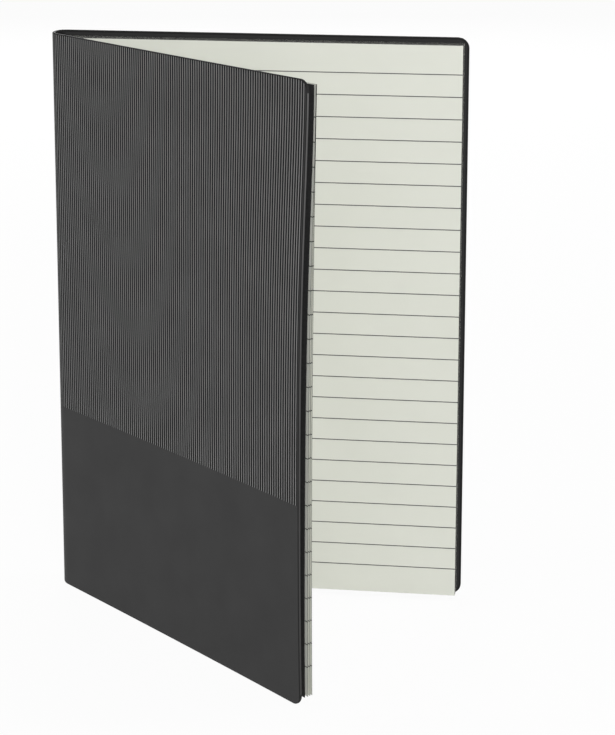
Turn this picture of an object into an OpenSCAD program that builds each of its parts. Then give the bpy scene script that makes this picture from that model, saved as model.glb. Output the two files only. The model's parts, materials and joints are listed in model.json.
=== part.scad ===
// A ruled A5 notebook with a ribbed soft cover.
// It stands on its lower edges with the front cover swung open.
// Lengths are in millimetres. X runs from the spine to the fore-edge of the
// back cover, Y from the first page to the back cover, and Z upwards.

/* [Cover] */
// Height of the cover from tail to head
cover_h = 210; // [150:1:300]
// Width of each cover from its hinge axis to its free edge
cover_w = 150; // [100:1:220]
// Thickness of the cover sheet
cover_t = 1; // [0.8:0.1:2]
// Radius of the free corners of the covers
corner_r = 4; // [1:0.5:10]
// Angle between the opened front cover and the first page
open_angle = 44; // [10:1:120]

/* [Ribs] */
// Distance from one rib to the next
rib_pitch = 1.3; // [1:0.1:4]
// Depth of the furrows between the ribs
rib_depth = 0.35; // [0.1:0.05:0.5]
// Height of the smooth band at the foot of the front cover and spine
plain_h = 70; // [20:1:120]

/* [Spine] */
// How far the middle of the spine stands out beyond its two edges
spine_bulge = 0.8; // [0.3:0.1:2]
// Gap between the spine and the round hinge edge of each cover
hinge_gap = 0.3; // [0.3:0.1:1]
// Thickness of the cloth glued to the back of the page block
cloth_t = 0.2; // [0.1:0.05:0.5]
// How far the cloth stays short of the pages at head and tail
cloth_inset = 8; // [0:1:20]

/* [Pages] */
// Thickness of the page block
block_t = 7; // [3:0.5:30]
// Overhang of the covers beyond the pages at head and tail
head_overhang = 2; // [1:0.5:5]
// Overhang of the covers beyond the pages at the fore-edge
fore_overhang = 1.6; // [1:0.1:5]
// Thickness of a single sheet
paper_t = 0.15; // [0.1:0.05:0.3]

/* [Ruling] */
// Distance from one printed line to the next
line_pitch = 8.05; // [4:0.05:12]
// Least distance of the printed lines from the head and tail of the page
line_margin = 10; // [5:1:30]
// Width of a printed line
line_w = 0.35; // [0.2:0.05:1]
// Thickness of the ink
ink_t = 0.05; // [0.02:0.01:0.1]

/* [Loose sheets] */
// Room between the first page and the closed front cover, for turned leaves
turned_room = 1.7; // [1.5:0.1:4]
// Air between two sheets at their roots
sheet_gap = 0.1; // [0.1:0.05:0.5]
// Angle between the front cover and the free half of its endpaper
flyleaf_angle = 0.9; // [0.5:0.1:3]
// Further angle from each loose sheet to the next
leaf_angle = 0.35; // [0.1:0.05:1]
// Distance from the hinge axis to the fold of the endpaper
fold_x = 2; // [2:0.5:3]
// Distance from the hinge axis to the inner edge of a turned leaf
leaf_root_x = 3; // [3:0.5:10]
// How far the pasted endpapers stay short of the cover's edges
paste_inset = 0.8; // [0.5:0.1:3]
// Air between the back flyleaf and the endpaper pasted to the back cover
back_gap = 0.3; // [0.3:0.1:1]

/* [Hidden] */
$fn = 48;

hinge_r = cover_t / 2;
hinge_x = spine_bulge + hinge_r;
front_hinge_y = -turned_room - hinge_r;
back_hinge_y = block_t + paper_t + back_gap + paper_t + hinge_r;

spine_front_y = front_hinge_y + hinge_r + hinge_gap;
spine_back_y = back_hinge_y - hinge_r - hinge_gap;
spine_inner_x = spine_bulge + cover_t;

page_x0 = spine_inner_x + cloth_t;
page_x1 = hinge_x + cover_w - fore_overhang;
page_z0 = head_overhang;
page_h = cover_h - 2 * head_overhang;
sheet_reach = page_x1 - hinge_x;

// The origin is the middle of the bounding box, on the floor.
x_low = min(0, hinge_x + cover_w * cos(open_angle) - hinge_r * sin(open_angle));
x_high = hinge_x + cover_w;
y_low = front_hinge_y - cover_w * sin(open_angle) - hinge_r * abs(cos(open_angle));
y_high = back_hinge_y + hinge_r;

module centred() {
    translate([-(x_low + x_high) / 2, -(y_low + y_high) / 2, 0]) children();
}

// Pieces on the front cover are drawn with the hinge axis at x = 0, y = 0 and
// the cover along +X. Its inner face looks towards +Y.
module on_front_hinge() {
    centred()
        translate([hinge_x, front_hinge_y, 0])
            rotate([0, 0, -open_angle])
                children();
}

module on_back_hinge() {
    centred() translate([hinge_x, back_hinge_y, 0]) children();
}

// An upright sheet from x0 to x1, z0 to z1 and y0 to y1. Its two corners at x1
// are rounded to radius r.
module rounded_sheet(x0, x1, z0, z1, y0, y1, r) {
    spare = 1;
    translate([0, y1, 0])
        rotate([90, 0, 0])
            linear_extrude(height = y1 - y0)
                difference() {
                    translate([x0, z0]) square([x1 - x0, z1 - z0]);
                    for (corner = [[z0 - spare, z0 + r], [z1 - r, z1 - r]])
                        difference() {
                            translate([x1 - r, corner[0]]) square(r + spare);
                            translate([x1 - r, corner[1]]) circle(r);
                        }
                }
}

// One rib: a rounded crest that falls to a furrow half a pitch further on.
// Each entry is a place along the pitch and a share of the furrow's depth.
RIB = [[0, 0], [0.35, 0.35], [0.5, 1], [0.65, 0.35]];

// Places along a row of ribs, each with its depth below the crests.
function rib_row(count, depth) =
    [for (i = [0:count - 1]) for (p = RIB) [(i + p[0]) * rib_pitch, p[1] * depth]];

// Front cover section: straight inner face, and an outer face with a row of
// ribs or, at depth 0, smooth.
module cover_section(depth) {
    count = floor(cover_w / rib_pitch);
    row = depth > 0 ? rib_row(count, depth) : [[0, 0]];
    polygon(concat(
        [for (p = row) [p[0], p[1] - hinge_r]],
        [[cover_w, -hinge_r], [cover_w, hinge_r], [0, hinge_r]]
    ));
}

// Spine section: an arc whose middle touches x = 0, ribbed or smooth like the
// front cover, and a flat inner face.
spine_chord = spine_back_y - spine_front_y;
spine_arc_r = (pow(spine_chord / 2, 2) + pow(spine_bulge, 2)) / (2 * spine_bulge);
spine_half_angle = asin(spine_chord / 2 / spine_arc_r);

function spine_point(angle, depth) = [
    spine_arc_r - (spine_arc_r - depth) * cos(angle),
    (spine_front_y + spine_back_y) / 2 + (spine_arc_r - depth) * sin(angle)
];

module spine_section(depth) {
    per_degree = PI * spine_arc_r / 180;
    count = floor(2 * spine_half_angle * per_degree / rib_pitch);
    middle = count * rib_pitch / 2;
    polygon(concat(
        [spine_point(-spine_half_angle, 0)],
        [for (p = rib_row(count, depth)) spine_point((p[0] - middle) / per_degree, p[1])],
        [spine_point(spine_half_angle, 0)],
        [[spine_inner_x, spine_back_y], [spine_inner_x, spine_front_y]]
    ));
}

// Two bands from tail to head: the smooth one and the ribs.
module bands() {
    linear_extrude(height = plain_h) children(0);
    translate([0, 0, plain_h]) linear_extrude(height = cover_h - plain_h) children(1);
}

// The hinge edge of a cover is rolled to a round as thick as the sheet.
module hinge_edge() {
    cylinder(h = cover_h, r = hinge_r);
}

module front_cover() {
    color("#464646")
        on_front_hinge() {
            hinge_edge();
            intersection() {
                bands() {
                    cover_section(0);
                    cover_section(rib_depth);
                }
                rounded_sheet(0, cover_w, 0, cover_h, -hinge_r, hinge_r, corner_r);
            }
        }
}

module spine() {
    color("#464646")
        centred()
            bands() {
                spine_section(0);
                spine_section(rib_depth);
            }
}

module back_cover() {
    color("#464646")
        on_back_hinge() {
            hinge_edge();
            rounded_sheet(0, cover_w, 0, cover_h, -hinge_r, hinge_r, corner_r);
        }
}

paste_r = max(corner_r - paste_inset, paper_t);

// The black endpaper pasted inside a cover, from y0 to y1.
module pasted_sheet(y0, y1) {
    rounded_sheet(fold_x, cover_w - paste_inset, paste_inset, cover_h - paste_inset,
                  y0, y1, paste_r);
}

// The front endpaper is one folded sheet, split here at its fold. One half is
// pasted to the cover.
module front_pastedown() {
    color("#242424")
        on_front_hinge() pasted_sheet(hinge_r, hinge_r + paper_t);
}

// The other half, as large as a page, stands a little away from it.
flyleaf_root_y = hinge_r + paper_t + sheet_gap;

module front_flyleaf() {
    color("#242424")
        on_front_hinge()
            translate([fold_x, flyleaf_root_y, page_z0])
                rotate([0, 0, flyleaf_angle])
                    cube([sheet_reach - fold_x, paper_t, page_h]);
}

// Turned leaves follow the flyleaf, each standing a little further out.
leaf_root_y = flyleaf_root_y + paper_t + sheet_gap
    + (leaf_root_x - fold_x) * tan(flyleaf_angle);

module turned_leaf(number) {
    color("#e6e4da")
        on_front_hinge()
            translate([leaf_root_x, leaf_root_y + (number - 1) * (paper_t + sheet_gap), page_z0])
                rotate([0, 0, flyleaf_angle + number * leaf_angle])
                    cube([sheet_reach - leaf_root_x, paper_t, page_h]);
}

module page_block() {
    color("#e6e4da")
        centred()
            translate([page_x0, 0, page_z0])
                cube([page_x1 - page_x0, block_t, page_h]);
}

// Lines printed across the first page, with equal margins at head and tail.
module rule_lines() {
    steps = floor((page_h - 2 * line_margin) / line_pitch);
    color("#7c7c7a")
        centred()
            for (i = [0:steps])
                translate([page_x0, -ink_t, cover_h / 2 + (i - steps / 2) * line_pitch - line_w / 2])
                    cube([page_x1 - page_x0, ink_t, line_w]);
}

module spine_cloth() {
    color("#d8d4c8")
        centred()
            translate([spine_inner_x, 0, page_z0 + cloth_inset])
                cube([cloth_t, block_t, page_h - 2 * cloth_inset]);
}

module back_flyleaf() {
    color("#242424")
        centred()
            translate([page_x0, block_t, page_z0])
                cube([page_x1 - page_x0, paper_t, page_h]);
}

module back_pastedown() {
    color("#242424")
        on_back_hinge() pasted_sheet(-hinge_r - paper_t, -hinge_r);
}

front_cover();
spine();
back_cover();
front_pastedown();
front_flyleaf();
turned_leaf(1);  // turned_leaf_1
turned_leaf(2);  // turned_leaf_2
page_block();
rule_lines();
spine_cloth();
back_flyleaf();
back_pastedown();
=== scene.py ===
import json
import math

import bmesh
import bpy
import numpy as np
from mathutils import Matrix, Vector


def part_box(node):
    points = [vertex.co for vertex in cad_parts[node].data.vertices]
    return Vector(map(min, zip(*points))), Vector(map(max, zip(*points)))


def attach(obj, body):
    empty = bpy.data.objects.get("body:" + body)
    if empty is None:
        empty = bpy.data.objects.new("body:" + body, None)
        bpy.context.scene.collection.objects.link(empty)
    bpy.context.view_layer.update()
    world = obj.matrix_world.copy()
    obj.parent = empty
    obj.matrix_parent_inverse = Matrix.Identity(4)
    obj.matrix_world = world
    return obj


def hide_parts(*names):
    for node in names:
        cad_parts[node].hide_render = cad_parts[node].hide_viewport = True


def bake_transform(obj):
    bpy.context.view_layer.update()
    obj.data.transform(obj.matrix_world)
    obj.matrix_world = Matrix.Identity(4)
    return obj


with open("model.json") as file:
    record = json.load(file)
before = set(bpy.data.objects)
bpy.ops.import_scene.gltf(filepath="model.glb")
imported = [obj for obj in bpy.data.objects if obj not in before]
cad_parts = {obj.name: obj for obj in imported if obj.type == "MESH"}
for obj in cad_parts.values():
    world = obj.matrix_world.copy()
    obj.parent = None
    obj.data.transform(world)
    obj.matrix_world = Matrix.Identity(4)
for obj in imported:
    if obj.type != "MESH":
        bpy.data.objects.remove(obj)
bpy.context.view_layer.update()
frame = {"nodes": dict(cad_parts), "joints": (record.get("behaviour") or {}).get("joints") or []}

# The soft cover, front half. One sheet of dark grey leatherette, about a millimetre
# thick, wraps the whole notebook. It is embossed with upright ribs, and its foot is
# smooth. Towards its free edge the cover has warped a little outwards.
MM = 0.001
axes = {joint["name"]: np.array(joint["pos_m"][:2]) for joint in frame["joints"]}
front_axis = axes["front_cover_hinge"]
back_axis = axes["back_cover_hinge"]
cover_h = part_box("front_cover")[1][2]
cover_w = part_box("back_cover")[1][0] - back_axis[0]
spine_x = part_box("spine")[0][0]
cover_t = 1.0 * MM
corner_r = 4.0 * MM
cover_edge_r = 0.25 * MM
open_angle = math.radians(44)
along_cover = np.array([math.cos(open_angle), -math.sin(open_angle)])
into_book = np.array([math.sin(open_angle), math.cos(open_angle)])
end_band = 12 * MM
crease = math.radians(50)


def on_cover(x, y):
    """Plan points x along the opened front cover from its hinge axis, and y towards the pages."""
    return front_axis + np.multiply.outer(x, along_cover) + np.multiply.outer(y, into_book)


def warped(plan, z):
    """Bends plan points on the front cover outwards by 2.6 - 3.5 exp(-(t / 0.29)^1.7) - 0.9 t^6 mm
    times (x / width)^2, where t runs from 0 at the head to 1 at the tail and x from the hinge."""
    t = np.clip(1 - z / cover_h, 0, 1)
    x = np.clip((plan - front_axis) @ along_cover / cover_w, 0, 1)
    outwards = (2.6 - 3.5 * np.exp(-((t / 0.29) ** 1.7)) - 0.9 * t**6) * MM
    return plan - (outwards * x**2)[..., None] * into_book


def bezier(p0, p1, p2, p3, count):
    """Cubic curve: the four points weighted by (1-t)^3, 3t(1-t)^2, 3t^2(1-t) and t^3."""
    t = np.linspace(0, 1, count)[:, None]
    return (1 - t) ** 3 * p0 + 3 * t * (1 - t) ** 2 * p1 + 3 * t**2 * (1 - t) * p2 + t**3 * p3


def run_of(path):
    """Distance of each point of a path from the first one, measured along the path."""
    return np.r_[0, np.cumsum(np.hypot(*np.diff(path, axis=0).T))]


def at_runs(path, s):
    """Points of a path at the distances s along it, on the straight lines between its points."""
    run = run_of(path)
    return np.stack([np.interp(s, run, path[:, 0]), np.interp(s, run, path[:, 1])], axis=1)


def sheet(path, left, right, z_low, z_high, z_rows, rounded=(0, 0, 0), bend=None):
    """A closed upright sheet: the points path(s) + offset times the path's left-hand normal, at the
    offsets left and right, over the rows z. The rows reach from z_low to z_high, and only those
    within 12 mm of an end are moved for it. Along its first edge, its last edge, and its foot and
    head, each face draws in by a quarter circle of the three rounded radii. bend(plan, z) moves
    the path of each row. Returns its points, faces, rim faces and map."""
    s = run_of(path)
    foot, head = z_rows[0], z_rows[-1]
    band = min(end_band, (head - foot) / 2)
    z = np.repeat(z_rows[:, None], len(s), axis=1)
    z += np.where(z < foot + band, (z_low - foot) * (foot + band - z) / band, 0)
    z -= np.where(z > head - band, (head - z_high) * (z - head + band) / band, 0)
    drawn = np.zeros(z.shape)
    for radius, gap in zip(rounded, (s, s[-1] - s, np.minimum(z - z_low, z_high - z))):
        near = np.clip(gap, 0, radius)
        drawn = np.maximum(drawn, radius - np.sqrt(radius**2 - (radius - near) ** 2))
    step = np.gradient(path, axis=0)
    step /= np.hypot(step[:, 0], step[:, 1])[:, None]
    leftwards = np.stack([-step[:, 1], step[:, 0]], axis=1)
    middle = path + np.zeros(z.shape + (2,))
    if bend:
        middle = bend(middle, z)
    points = []
    for offset in (left - drawn, right + drawn):
        plan = middle + offset[..., None] * leftwards
        points.append(np.concatenate([plan, z[..., None]], axis=2).reshape(-1, 3))
    index = np.arange(z.size).reshape(z.shape)
    around = [index[:-1, :-1], index[:-1, 1:], index[1:, 1:], index[1:, :-1]]
    faces = np.stack(around, axis=2).reshape(-1, 4)
    rim = np.concatenate([index[0, :], index[1:, -1], index[-1, -2::-1], index[-2:0:-1, 0]])
    rim_next = np.roll(rim, -1)
    rim_faces = np.stack([rim, rim_next, rim_next + z.size, rim + z.size], axis=1)
    uv = np.stack([np.broadcast_to(s, z.shape), z], axis=2).reshape(-1, 2)
    return (
        np.concatenate(points),
        np.concatenate([faces, faces[:, ::-1] + z.size]),
        rim_faces,
        np.concatenate([uv, uv]),
    )


def piece_of(name, sheets, face_material, rim_material=None):
    """One object from any number of closed sheets, smooth up to creases of 50 degrees. Its map
    is in metres: the distance along each sheet's path, and the height."""
    starts = np.cumsum([0] + [len(part[0]) for part in sheets[:-1]])
    faces = np.concatenate([part[1] + start for part, start in zip(sheets, starts)])
    rims = np.concatenate([part[2] + start for part, start in zip(sheets, starts)])
    mesh = bpy.data.meshes.new(name)
    mesh.from_pydata(
        np.concatenate([part[0] for part in sheets]).tolist(),
        [],
        np.concatenate([faces, rims]).tolist(),
    )
    mesh.materials.append(face_material)
    mesh.materials.append(rim_material or face_material)
    mesh.polygons.foreach_set("material_index", np.repeat([0, 1], [len(faces), len(rims)]))
    work = bmesh.new()
    work.from_mesh(mesh)
    bmesh.ops.recalc_face_normals(work, faces=work.faces)
    work.to_mesh(mesh)
    work.free()
    corners = np.zeros(len(mesh.loops), np.int32)
    mesh.loops.foreach_get("vertex_index", corners)
    uv = np.concatenate([part[3] for part in sheets])
    layer = mesh.uv_layers.new(name="sheet")
    layer.data.foreach_set("uv", uv[corners].astype(np.float32).ravel())
    mesh.polygons.foreach_set("use_smooth", np.ones(len(mesh.polygons), bool))
    mesh.set_sharp_from_angle(angle=crease)
    piece = bpy.data.objects.new(name, mesh)
    bpy.context.scene.collection.objects.link(piece)
    return piece


def finish_of(name, colour, roughness):
    """A new material and its nodes, with a colour, until a pattern takes its place, and a roughness."""
    material = bpy.data.materials.new(name)
    material.use_nodes = True
    surface = material.node_tree.nodes["Principled BSDF"]
    surface.inputs["Base Color"].default_value = (*colour, 1)
    surface.inputs["Roughness"].default_value = roughness
    return material, material.node_tree, surface


def patterned(tree, kind, scale, detail=None, source="UV"):
    """A pattern node on the piece's own coordinates, with scale in features to the metre."""
    place = tree.nodes.new("ShaderNodeTexCoord")
    pattern = tree.nodes.new(kind)
    pattern.inputs["Scale"].default_value = scale
    if detail:
        pattern.inputs["Detail"].default_value = detail
    tree.links.new(place.outputs[source], pattern.inputs["Vector"])
    return pattern


def embossed(tree, surface, height, distance, strength):
    """Bump of the given depth from a height output."""
    bump = tree.nodes.new("ShaderNodeBump")
    bump.inputs["Distance"].default_value = distance
    bump.inputs["Strength"].default_value = strength
    tree.links.new(height, bump.inputs["Height"])
    tree.links.new(bump.outputs["Normal"], surface.inputs["Normal"])


def shaded(tree, height, low, high, target):
    """Gives a target socket a colour that passes from low to high as a height rises from 0.3 to 0.7."""
    ramp = tree.nodes.new("ShaderNodeValToRGB")
    for element, position, colour in zip(ramp.color_ramp.elements, (0.3, 0.7), (low, high)):
        element.position = position
        element.color = (*colour, 1)
    tree.links.new(height, ramp.inputs["Fac"])
    tree.links.new(ramp.outputs["Color"], target)


leatherette, tree, surface = finish_of("leatherette", (0.04, 0.04, 0.04), 0.6)
surface.inputs["Specular IOR Level"].default_value = 0.12
grain = patterned(tree, "ShaderNodeTexVoronoi", 2600)
embossed(tree, surface, grain.outputs["Distance"], 0.03 * MM, 0.35)
drift = patterned(tree, "ShaderNodeTexNoise", 60, 4)
# The tone attribute multiplies the colour. It holds painted highlights on the rib crests and on the
# free edge's cut face, and painted shade in the furrows.
tone = tree.nodes.new("ShaderNodeAttribute")
tone.attribute_name = "tone"
toned = tree.nodes.new("ShaderNodeMix")
toned.data_type = "RGBA"
toned.blend_type = "MULTIPLY"
toned.inputs["Factor"].default_value = 1
toned_first, toned_second, toned_colour = toned.inputs[6], toned.inputs[7], toned.outputs[2]
shaded(tree, drift.outputs["Fac"], (0.032, 0.032, 0.032), (0.038, 0.038, 0.038), toned_first)
tree.links.new(tone.outputs["Color"], toned_second)
tree.links.new(toned_colour, surface.inputs["Base Color"])

plain_h = 70 * MM
rib_pitch = 1.3 * MM
rib_depth = 0.4 * MM
rib_phase = np.array([-0.5, -0.32, -0.2, -0.1, 0, 0.1, 0.2, 0.32])
rib_margin = 0.95 * MM

# The printed lines' heights, here so that the rows of each sheet pass through them.
rule_count = 24
rule_pitch = 8.05 * MM
rule_z = cover_h / 2 + (np.arange(rule_count) - (rule_count - 1) / 2) * rule_pitch

# Each row of the cover: its height, and its share of the ribs' depth.
cover_z = np.r_[
    np.array([0, 0.1, 0.25, 0.45, 1.5, 3, 5, 8]) * MM,
    rule_z[rule_z < plain_h],
    plain_h - 0.1 * MM,
    plain_h + 0.25 * MM,
    rule_z[rule_z > plain_h],
    cover_h - np.array([7, 3, 1.2, 0.45, 0.25, 0.1, 0]) * MM,
]
ribbed = (cover_z > plain_h).astype(float)[:, None]
corner_runs = corner_r * (1 - np.cos(np.radians([0, 6, 12, 18, 24, 30, 36])))


def corner_rise(s, radius=corner_r):
    """Height of a rounded corner's outline at distance s from the side edge:
    radius - sqrt(radius^2 - (radius - s)^2), and 0 beyond the corner."""
    return radius - np.sqrt(radius**2 - np.clip(radius - s, 0, radius) ** 2)


def furrow_at(phase):
    """Share of a furrow's depth at a place along a rib, 0 on its crest and 0.5 in the furrow:
    1 - |cos(pi phase)|^0.8, a round crest between two narrower furrows."""
    return 1 - np.abs(np.cos(np.pi * phase)) ** 0.8


# Painted highlight along the rib crests, with painted shade in the furrows between them.
crest_highlight_tone = 8
crest_highlight_width = 0.13
dim_tone = 0.3
dim_band = 0.35 * MM


def tone_cover(piece, phase, has_ribs, runs):
    """Stores the leatherette's tone. It is 1 where smooth and 8 exp(-(phase / 0.13)^2) across a
    rib: a painted highlight along its crest, and painted shade, near 0, in its furrows. Within 0.35 mm
    of the cut edges and inside it is 0.3, and on the cut face of the free edge 1.2 + 1.4
    (height / cover's)^2, a painted highlight that grows towards the head."""
    phase = phase - np.round(phase)
    # Painted highlight on each crest, falling to painted shade, near 0, in the furrows.
    painted_rib_light = crest_highlight_tone * np.exp(-((phase / crest_highlight_width) ** 2))
    outer = 1 + ribbed * has_ribs * (painted_rib_light - 1)
    inner = np.full(outer.shape, dim_tone)
    outer[:, runs < dim_band] = dim_tone
    for face in (outer, inner):
        # Painted highlight on the cut face of the free edge, growing towards the head.
        face[:, runs <= 0] = (1.2 + 1.4 * (cover_z / cover_h) ** 2)[:, None]
        face[np.minimum(cover_z, cover_h - cover_z) < dim_band] = dim_tone
    tones = np.concatenate([outer.ravel(), inner.ravel()])
    layer = piece.data.color_attributes.new("tone", "FLOAT_COLOR", "POINT")
    layer.data.foreach_set("color", np.repeat(tones, 4).astype(np.float32))


# The fold starts 3 mm from the hinge axis. The pulls are how far its curve runs straight on.
fold_points = 60
front_pull = 3.2 * MM
spine_pull = 3 * MM
spine_middle = np.array([spine_x, (front_axis[1] + back_axis[1]) / 2])
fold_start = on_cover(3 * MM, -cover_t / 2)
front_fold = bezier(
    fold_start,
    fold_start - front_pull * along_cover,
    spine_middle - np.array([0, spine_pull]),
    spine_middle,
    fold_points,
)
front_outline = np.concatenate([[on_cover(cover_w, -cover_t / 2)], front_fold])
front_length = run_of(front_outline)[-1]
front_ribs = round((front_length - rib_margin) / rib_pitch)
front_pitch = (front_length - rib_margin) / front_ribs
rib_runs = rib_margin + ((np.arange(front_ribs)[:, None] + 0.5 + rib_phase) * front_pitch).ravel()
front_runs = np.r_[corner_runs, rib_runs, front_length]
front_phase = (front_runs - rib_margin) / front_pitch - 0.5
on_front = (front_runs > corner_runs[-1]).astype(float)
front_furrow = on_front * furrow_at(front_phase)
front_rise = corner_rise(front_runs)
cover_front = piece_of(
    "cover_front",
    [
        sheet(
            at_runs(front_outline, front_runs),
            -rib_depth * ribbed * front_furrow,
            -cover_t,
            front_rise,
            cover_h - front_rise,
            cover_z,
            rounded=(cover_edge_r, 0, cover_edge_r),
            bend=warped,
        )
    ],
    leatherette,
)
tone_cover(cover_front, front_phase, on_front, front_runs)
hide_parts("front_cover", "spine")
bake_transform(cover_front)

# The soft cover, back half. The same sheet runs on round the spine with its ribs, and
# bends again behind it into the smooth back cover that stands behind the pages.
spine_pull_back = 4.2 * MM
back_pull = 3.2 * MM
back_fold_end = back_axis + np.array([3.3 * MM, cover_t / 2])
back_fold = bezier(
    spine_middle,
    spine_middle + np.array([0, spine_pull_back]),
    back_fold_end - np.array([back_pull, 0]),
    back_fold_end,
    fold_points,
)
back_outline = np.concatenate([back_fold, [back_axis + np.array([cover_w, cover_t / 2])]])
back_length = run_of(back_outline)[-1]
back_ribs = int(run_of(back_fold)[-1] / rib_pitch)
last_rib_run = back_ribs * rib_pitch
back_rib_runs = ((np.arange(back_ribs)[:, None] + 0.5 + rib_phase) * rib_pitch).ravel()[:-3]
back_runs = np.r_[
    back_rib_runs,
    np.linspace(last_rib_run, back_length - corner_r, 30),
    back_length - np.array([0.6, 0.35]) * corner_r,
    back_length - corner_runs[::-1],
]
on_spine = np.clip((last_rib_run - back_runs) / (0.5 * rib_pitch), 0, 1)
back_phase = back_runs / rib_pitch - 0.5
back_furrow = furrow_at(back_phase) * (back_runs <= back_rib_runs[-1])
back_rise = corner_rise(back_length - back_runs)
cover_back = piece_of(
    "cover_back",
    [
        sheet(
            at_runs(back_outline, back_runs),
            -rib_depth * ribbed * back_furrow,
            -cover_t,
            back_rise,
            cover_h - back_rise,
            cover_z,
            rounded=(0, cover_edge_r, cover_edge_r),
        )
    ],
    leatherette,
)
tone_cover(cover_back, back_phase, on_spine, back_length - back_runs)
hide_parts("back_cover")
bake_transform(cover_back)

# The front endpaper. One black sheet is folded at the gutter: one half is pasted inside
# the front cover, just short of its edges, and the other turned over with the cover.
paper_t = 0.15 * MM
fold_x = 2.2 * MM
fold_r = 0.15 * MM
paste_inset = 0.8 * MM
paste_r = corner_r - paste_inset
pasted_y = (cover_t + paper_t) / 2
loose_y = pasted_y + 2 * fold_r
page_low, page_high = (np.array(corner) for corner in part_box("page_block"))
leaf_reach = page_high[0] - front_axis[0]

black_paper, tree, surface = finish_of("black_paper", (0.025, 0.025, 0.025), 0.85)
surface.inputs["Specular IOR Level"].default_value = 0.2
fibres = patterned(tree, "ShaderNodeTexNoise", 900, 5).outputs["Fac"]
embossed(tree, surface, fibres, 0.02 * MM, 0.3)
shaded(tree, fibres, (0.021, 0.021, 0.021), (0.032, 0.032, 0.032), surface.inputs["Base Color"])


def turned(follow, at_foot, slope, crown):
    """A bend for sheets turned with the cover. It follows that share of the cover's warp, and stands
    off the hinge line by (foot + slope u + crown u^2) x / reach in mm, u being height / cover's.
    What is pasted to the cover follows the whole warp and stands off by nothing."""

    def bend(plan, z):
        x = np.clip((plan - front_axis) @ along_cover / leaf_reach, 0, 1)
        u = z / cover_h
        loose = np.clip(((plan - front_axis) @ into_book - pasted_y) / (2 * fold_r), 0, 1)
        off = loose * x * (at_foot + slope * u + crown * u**2) * MM
        share = np.maximum(follow, 1 - loose)
        return plan + (warped(plan, z) - plan) * share[..., None] + off[..., None] * into_book

    return bend


fold_turn = np.linspace(0, np.pi, 9)
loose_x = np.r_[np.linspace(fold_x, 12 * MM, 8)[1:], np.linspace(16 * MM, leaf_reach, 26)]
paste_runs = np.r_[
    paste_r * (1 - np.cos(np.linspace(0, np.pi / 2, 12))),
    np.linspace(8 * MM, 144 * MM, 26),
]
pasted_low = corner_rise(paste_runs, paste_r) + paste_inset
to_page_edge = np.clip(np.linspace(0, 6, len(fold_turn) + len(loose_x)), 0, 1)
endpaper_low = np.r_[pasted_low, paste_inset + (page_low[2] - paste_inset) * to_page_edge]
endpaper_path = np.concatenate(
    [
        on_cover(cover_w - paste_inset - paste_runs, np.full(len(paste_runs), pasted_y)),
        on_cover(fold_x - fold_r * np.sin(fold_turn), pasted_y + fold_r * (1 - np.cos(fold_turn))),
        on_cover(loose_x, np.full(len(loose_x), loose_y)),
    ]
)
front_endpaper = piece_of(
    "front_endpaper_sheet",
    [
        sheet(
            endpaper_path,
            paper_t / 2,
            -paper_t / 2,
            endpaper_low,
            cover_h - endpaper_low,
            cover_z,
            bend=turned(1, 1.9, 2.6, -1.75),
        )
    ],
    black_paper,
)
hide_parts("front_pastedown", "front_flyleaf")
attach(front_endpaper, "front")

# The page block. About fifty ruled leaves of off-white writing paper are glued at the
# back edge, and their cut edges are painted black. The front leaves bow out at the gutter.
leaf_count = 46
leaf_pitch = (page_high[1] - page_low[1]) / leaf_count
gutter_rise = 0.9 * MM
gutter_reach = 5 * MM
chance = np.random.default_rng(7)
page_w = page_high[0] - page_low[0]
page_x = page_low[0] + np.r_[
    np.array([0, 0.5, 1, 1.5, 2, 3, 4, 5, 6.5, 8, 10, 12, 15]) * MM,
    np.linspace(20 * MM, page_w, 17),
]


def page_line(y, depth):
    """Plan line of a leaf's front face at y, from the gutter to the fore-edge. It bows forwards by
    0.9 mm times exp(-((x - gutter) / 5 mm)^1.2), less by its share of depth in the block."""
    bow = gutter_rise * (1 - depth) * np.exp(-(((page_x - page_low[0]) / gutter_reach) ** 1.2))
    return np.stack([page_x, y - bow], axis=1)


page_paper, tree, surface = finish_of("page_paper", (0.63, 0.64, 0.58), 0.85)
fibres = patterned(tree, "ShaderNodeTexNoise", 1500, 6)
embossed(tree, surface, fibres.outputs["Fac"], 0.01 * MM, 0.25)
cloud = patterned(tree, "ShaderNodeTexNoise", 25, 5).outputs["Fac"]
shaded(tree, cloud, (0.62, 0.63, 0.57), (0.645, 0.655, 0.595), surface.inputs["Base Color"])

painted_edge, tree, surface = finish_of("painted_edge", (0.02, 0.02, 0.02), 0.85)
surface.inputs["Specular IOR Level"].default_value = 0.1
streaks = patterned(tree, "ShaderNodeTexNoise", 1200, source="Object").outputs["Fac"]
shaded(tree, streaks, (0.014, 0.014, 0.014), (0.032, 0.032, 0.031), surface.inputs["Base Color"])

leaves = []
for number in range(leaf_count):
    line = page_line(page_low[1] + number * leaf_pitch, number / leaf_count)
    uneven = 0 if number == 0 else chance.uniform(-0.006, 0.002) * MM
    line[:, 0] += uneven * np.linspace(0, 1, len(line))
    low = page_low[2]
    high = page_high[2]
    trim = chance.uniform(-0.002, 0.006) * MM
    leaves.append(sheet(line, paper_t, 0, low + trim, high - trim, np.linspace(low, high, 7)))
page_block = piece_of("page_leaves", leaves, page_paper, painted_edge)
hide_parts("page_block")
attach(page_block, "pages")

# The ruling. Grey lines are printed straight across every page, from edge to edge, and
# evenly spaced from the head to the foot.
rule_w = 0.35 * MM
rule_proud = 0.012 * MM

ink, tree, surface = finish_of("ink", (0.06, 0.06, 0.058), 0.7)
speckle = patterned(tree, "ShaderNodeTexNoise", 4000).outputs["Fac"]
shaded(tree, speckle, (0.05, 0.05, 0.048), (0.075, 0.075, 0.073), surface.inputs["Base Color"])


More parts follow.
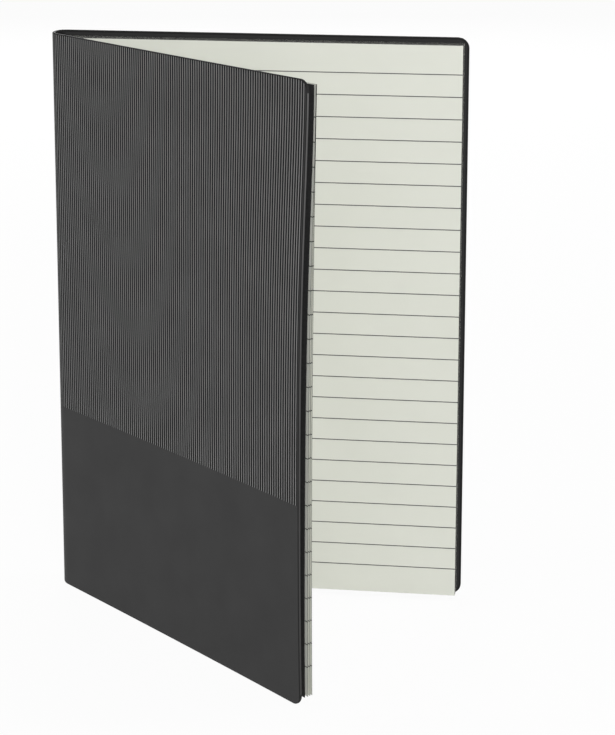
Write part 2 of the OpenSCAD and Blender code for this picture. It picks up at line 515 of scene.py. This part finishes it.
def ruling(line, middle, bend=None):
    """The printed lines on a leaf: bars along its plan line, 0.012 mm to each side of middle."""
    left, right = middle + rule_proud, middle - rule_proud
    bars = []
    for z in rule_z:
        ends = np.array([z - rule_w / 2, z + rule_w / 2])
        bars.append(sheet(line, left, right, *ends, ends, bend=bend))
    return bars


page_rules = piece_of("page_rules", ruling(page_line(page_low[1], 0), 0), ink)
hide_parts("rule_lines")
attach(page_rules, "pages")

# Three turned leaves. They are ruled leaves like the rest, which stay in the binding at the
# front of the block, and lie behind the black flyleaf where it was turned with the cover.
leaf_bends = {
    1: turned(1, 2.95, 2.85, -2.55),
    2: turned(0.55, 2.9, 0.625, 0.125),
    3: turned(0.1, 2.82, -1.6, 2.8),
}
leaf_z = np.r_[
    page_low[2] + np.array([0, 1, 3, 6]) * MM,
    rule_z,
    page_high[2] - np.array([5, 2, 0]) * MM,
]
leaf_gap = 0.28 * MM
root_reach = 4 * MM
for number, leaf_bend in leaf_bends.items():
    root = page_low[:2] + np.array([0.1 * MM, -gutter_rise - (0.85 - 0.25 * number) * MM])
    root_x, root_y = (root - front_axis) @ along_cover, (root - front_axis) @ into_book
    fore_x = leaf_reach - 0.1 * number * MM
    x = np.r_[np.linspace(root_x, 14 * MM, 24), np.linspace(20 * MM, fore_x, 22)]
    y = loose_y + leaf_gap * number
    line = on_cover(x, y + (root_y - y) * np.exp(-(x - root_x) / root_reach))
    faces = (paper_t / 2, -paper_t / 2)
    leaf = sheet(line, *faces, page_low[2], page_high[2], leaf_z, bend=leaf_bend)
    turned_leaf = piece_of(f"turned_leaf_{number}_sheet", [leaf], page_paper, painted_edge)
    lines = ruling(line, faces[0], leaf_bend) + ruling(line, faces[1], leaf_bend)
    leaf_rules = piece_of(f"turned_leaf_{number}_rules", lines, ink)
    if f"turned_leaf_{number}" in frame["nodes"]:
        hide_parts(f"turned_leaf_{number}")
    for piece in (turned_leaf, leaf_rules):
        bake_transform(piece)

# The binding cloth. A strip of thin woven cloth is glued over the back of the leaves and
# holds them together. It stops short of the head and foot.
cloth_low, cloth_high = (np.array(corner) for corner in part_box("spine_cloth"))
cloth_y = np.linspace(cloth_low[1] - 0.4 * MM, cloth_high[1] - 0.3 * MM, 16)
cloth_x = np.full(len(cloth_y), (cloth_low[0] + cloth_high[0]) / 2)
cloth_line = np.stack([cloth_x, cloth_y], axis=1)
cloth_z = np.linspace(cloth_low[2], cloth_high[2], 12)
cloth = sheet(cloth_line, 0.1 * MM, -0.1 * MM, cloth_low[2], cloth_high[2], cloth_z)
binding_cloth, tree, surface = finish_of("binding_cloth", (0.6, 0.58, 0.52), 0.9)
weave = patterned(tree, "ShaderNodeTexWave", 900).outputs["Fac"]
embossed(tree, surface, weave, 0.05 * MM, 0.5)
shaded(tree, weave, (0.55, 0.53, 0.47), (0.64, 0.62, 0.56), surface.inputs["Base Color"])
spine_cloth = piece_of("spine_cloth_strip", [cloth], binding_cloth)
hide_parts("spine_cloth")
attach(spine_cloth, "pages")

# The back endpaper. A black sheet like the front one: a flyleaf behind the last page, and
# a half pasted inside the back cover, which is the CAD node in the same black paper.
flyleaf_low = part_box("back_flyleaf")[0]
behind_x = np.r_[
    page_low[0] + np.linspace(1.3 * MM, 12 * MM, 10),
    page_x[page_x > page_low[0] + 14 * MM],
]
behind_line = np.stack([behind_x, np.full(len(behind_x), flyleaf_low[1] + 0.02 * MM)], axis=1)
behind_z = np.linspace(page_low[2], page_high[2], 9)
behind = sheet(behind_line, paper_t, 0, page_low[2], page_high[2], behind_z)
back_flyleaf = piece_of("back_flyleaf_sheet", [behind], black_paper)
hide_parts("back_flyleaf")
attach(back_flyleaf, "pages")
frame["nodes"]["back_pastedown"].material_slots[0].material = black_paper

# The studio. A pale floor and a white surround, with a soft lamp in front, a little to the
# right, and weaker ones on both sides and behind.
floor_reach = 4
floor_glow = 0.95
surround_light = 0.3
notebook_middle = (0, 0, 0.1)


def looking(tree):
    """1 on the rays that the camera, gloss or glass sends out, and 0 on those that light the object."""
    rays = tree.nodes.new("ShaderNodeLightPath")
    found = rays.outputs["Is Camera Ray"]
    for kind in ("Is Glossy Ray", "Is Transmission Ray"):
        either = tree.nodes.new("ShaderNodeMath")
        either.operation = "MAXIMUM"
        tree.links.new(found, either.inputs[0])
        tree.links.new(rays.outputs[kind], either.inputs[1])
        found = either.outputs[0]
    return found


floor_mesh = bpy.data.meshes.new("floor")
floor_corners = [(x * floor_reach, y * floor_reach, 0) for x, y in ((-1, -1), (1, -1), (1, 1), (-1, 1))]
floor_mesh.from_pydata(floor_corners, [], [(0, 1, 2, 3)])
floor = bpy.data.objects.new("floor", floor_mesh)
bpy.context.scene.collection.objects.link(floor)
floor_finish, tree, surface = finish_of("pale_floor", (0.9, 0.9, 0.9), 0.9)
glow = tree.nodes.new("ShaderNodeEmission")
share = tree.nodes.new("ShaderNodeMath")
share.operation = "MULTIPLY"
share.inputs[1].default_value = floor_glow
mixed = tree.nodes.new("ShaderNodeMixShader")
tree.links.new(looking(tree), share.inputs[0])
tree.links.new(share.outputs[0], mixed.inputs[0])
tree.links.new(surface.outputs[0], mixed.inputs[1])
tree.links.new(glow.outputs[0], mixed.inputs[2])
tree.links.new(mixed.outputs[0], tree.nodes["Material Output"].inputs["Surface"])
floor_mesh.materials.append(floor_finish)

world = bpy.data.worlds.new("surround")
bpy.context.scene.world = world
world.use_nodes = True
tree = world.node_tree
strength = tree.nodes.new("ShaderNodeMapRange")
strength.inputs["To Min"].default_value = surround_light
strength.inputs["To Max"].default_value = 1.0
tree.links.new(looking(tree), strength.inputs["Value"])
tree.links.new(strength.outputs["Result"], tree.nodes["Background"].inputs["Strength"])
tree.nodes["Background"].inputs["Color"].default_value = (1, 1, 1, 1)


def soft_lamp(name, place, size, watts):
    """A square area lamp at a place, in metres, turned to the notebook."""
    lamp = bpy.data.lights.new(name, "AREA")
    lamp.shape = "SQUARE"
    lamp.size = size
    lamp.energy = watts
    lamp_object = bpy.data.objects.new(name, lamp)
    bpy.context.scene.collection.objects.link(lamp_object)
    lamp_object.location = place
    towards = Vector(notebook_middle) - Vector(place)
    lamp_object.rotation_euler = towards.to_track_quat("-Z", "Y").to_euler()


soft_lamp("key_lamp", (0.44, -1.6, 0.56), 0.36, 19.5)
soft_lamp("fill_lamp", (-1.5, -0.6, 0.4), 0.6, 5)
soft_lamp("back_lamp", (-0.3, 1.6, 0.7), 0.8, 10)
soft_lamp("side_lamp", (1.6, 0.45, 0.5), 0.6, 8)

# The camera's place and angles, in metres and radians, at the photograph's viewing angle.
camera_place = (0.144673, -0.805498, 0.319308)
camera_turn = 0.14669
camera_down = 0.22529
camera_roll = 0.00137
camera = bpy.data.cameras.new("camera")
camera.lens = 118.75
camera.sensor_width = 36
camera.shift_y = -0.1204
camera_object = bpy.data.objects.new("camera", camera)
bpy.context.scene.collection.objects.link(camera_object)
camera_object.matrix_world = (
    Matrix.Translation(camera_place)
    @ Matrix.Rotation(camera_turn, 4, "Z")
    @ Matrix.Rotation(math.pi / 2 - camera_down, 4, "X")
    @ Matrix.Rotation(camera_roll, 4, "Z")
)
bpy.context.scene.camera = camera_object
bpy.context.scene.view_settings.view_transform = "Standard"
